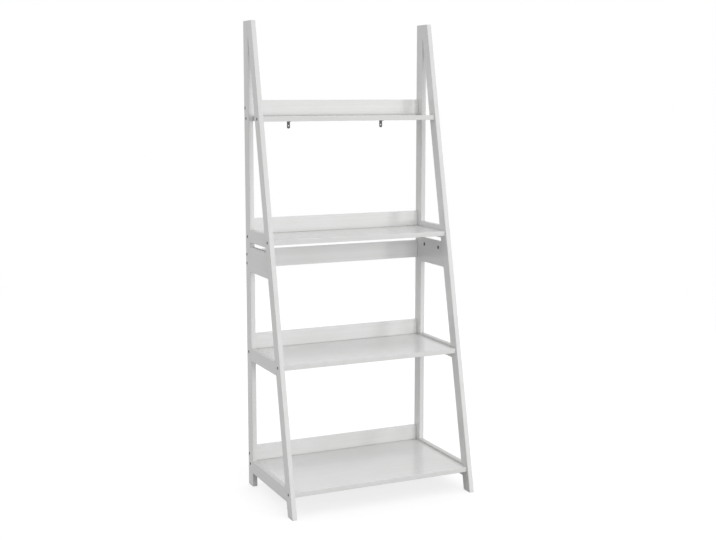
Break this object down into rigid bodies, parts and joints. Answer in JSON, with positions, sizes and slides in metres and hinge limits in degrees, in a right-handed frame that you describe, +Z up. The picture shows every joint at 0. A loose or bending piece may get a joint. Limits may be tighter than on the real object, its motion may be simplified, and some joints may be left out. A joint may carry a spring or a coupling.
{
  "type": "ladder bookcase",
  "caption": "Free-standing white ladder bookcase: leaning A-shaped side frames carry open shelves that get deeper towards the floor, each with a low back board.",
  "frame": {"origin": "on the floor, at the centre of the footprint", "axes": "+Z up, +X to the right as seen from the open front, +Y towards the wall"},
  "size_m": [0.625, 0.387, 1.49],
  "materials": {
    "white_board": "satin white lacquer on fibreboard",
    "beech_dowel": "plain beech",
    "black_screw": "black oxide",
    "zinc_steel": "bright zinc plate",
    "cast_zinc": "dull cast zinc"
  },
  "bodies": {
    "root": {"rear_leg_left": "white_board", "rear_leg_right": "white_board", "front_leg_left": "white_board", "front_leg_right": "white_board", "upper_side_rail_left": "white_board", "upper_side_rail_right": "white_board", "deep_side_rail_left": "white_board", "deep_side_rail_right": "white_board", "lower_side_rail_left": "white_board", "lower_side_rail_right": "white_board", "bottom_side_rail_left": "white_board", "bottom_side_rail_right": "white_board", "top_shelf": "white_board", "upper_shelf": "white_board", "lower_shelf": "white_board", "bottom_shelf": "white_board", "top_back_board": "white_board", "upper_back_board": "white_board", "lower_back_board": "white_board", "bottom_back_board": "white_board", "back_stretcher": "white_board", "wall_bracket_left": "zinc_steel", "wall_bracket_right": "zinc_steel", "wall_bracket_screws": "zinc_steel", "shelf_screws_left": "black_screw", "shelf_screws_right": "black_screw", "end_board_screws": "black_screw", "stretcher_screws": "black_screw", "middle_board_screws": "zinc_steel", "side_rail_dowels_left": "beech_dowel", "side_rail_dowels_right": "beech_dowel", "apex_dowels": "beech_dowel", "back_board_dowels": "beech_dowel", "cam_locks": "cast_zinc", "cam_bolts": "zinc_steel"}
  },
  "joints": []
}
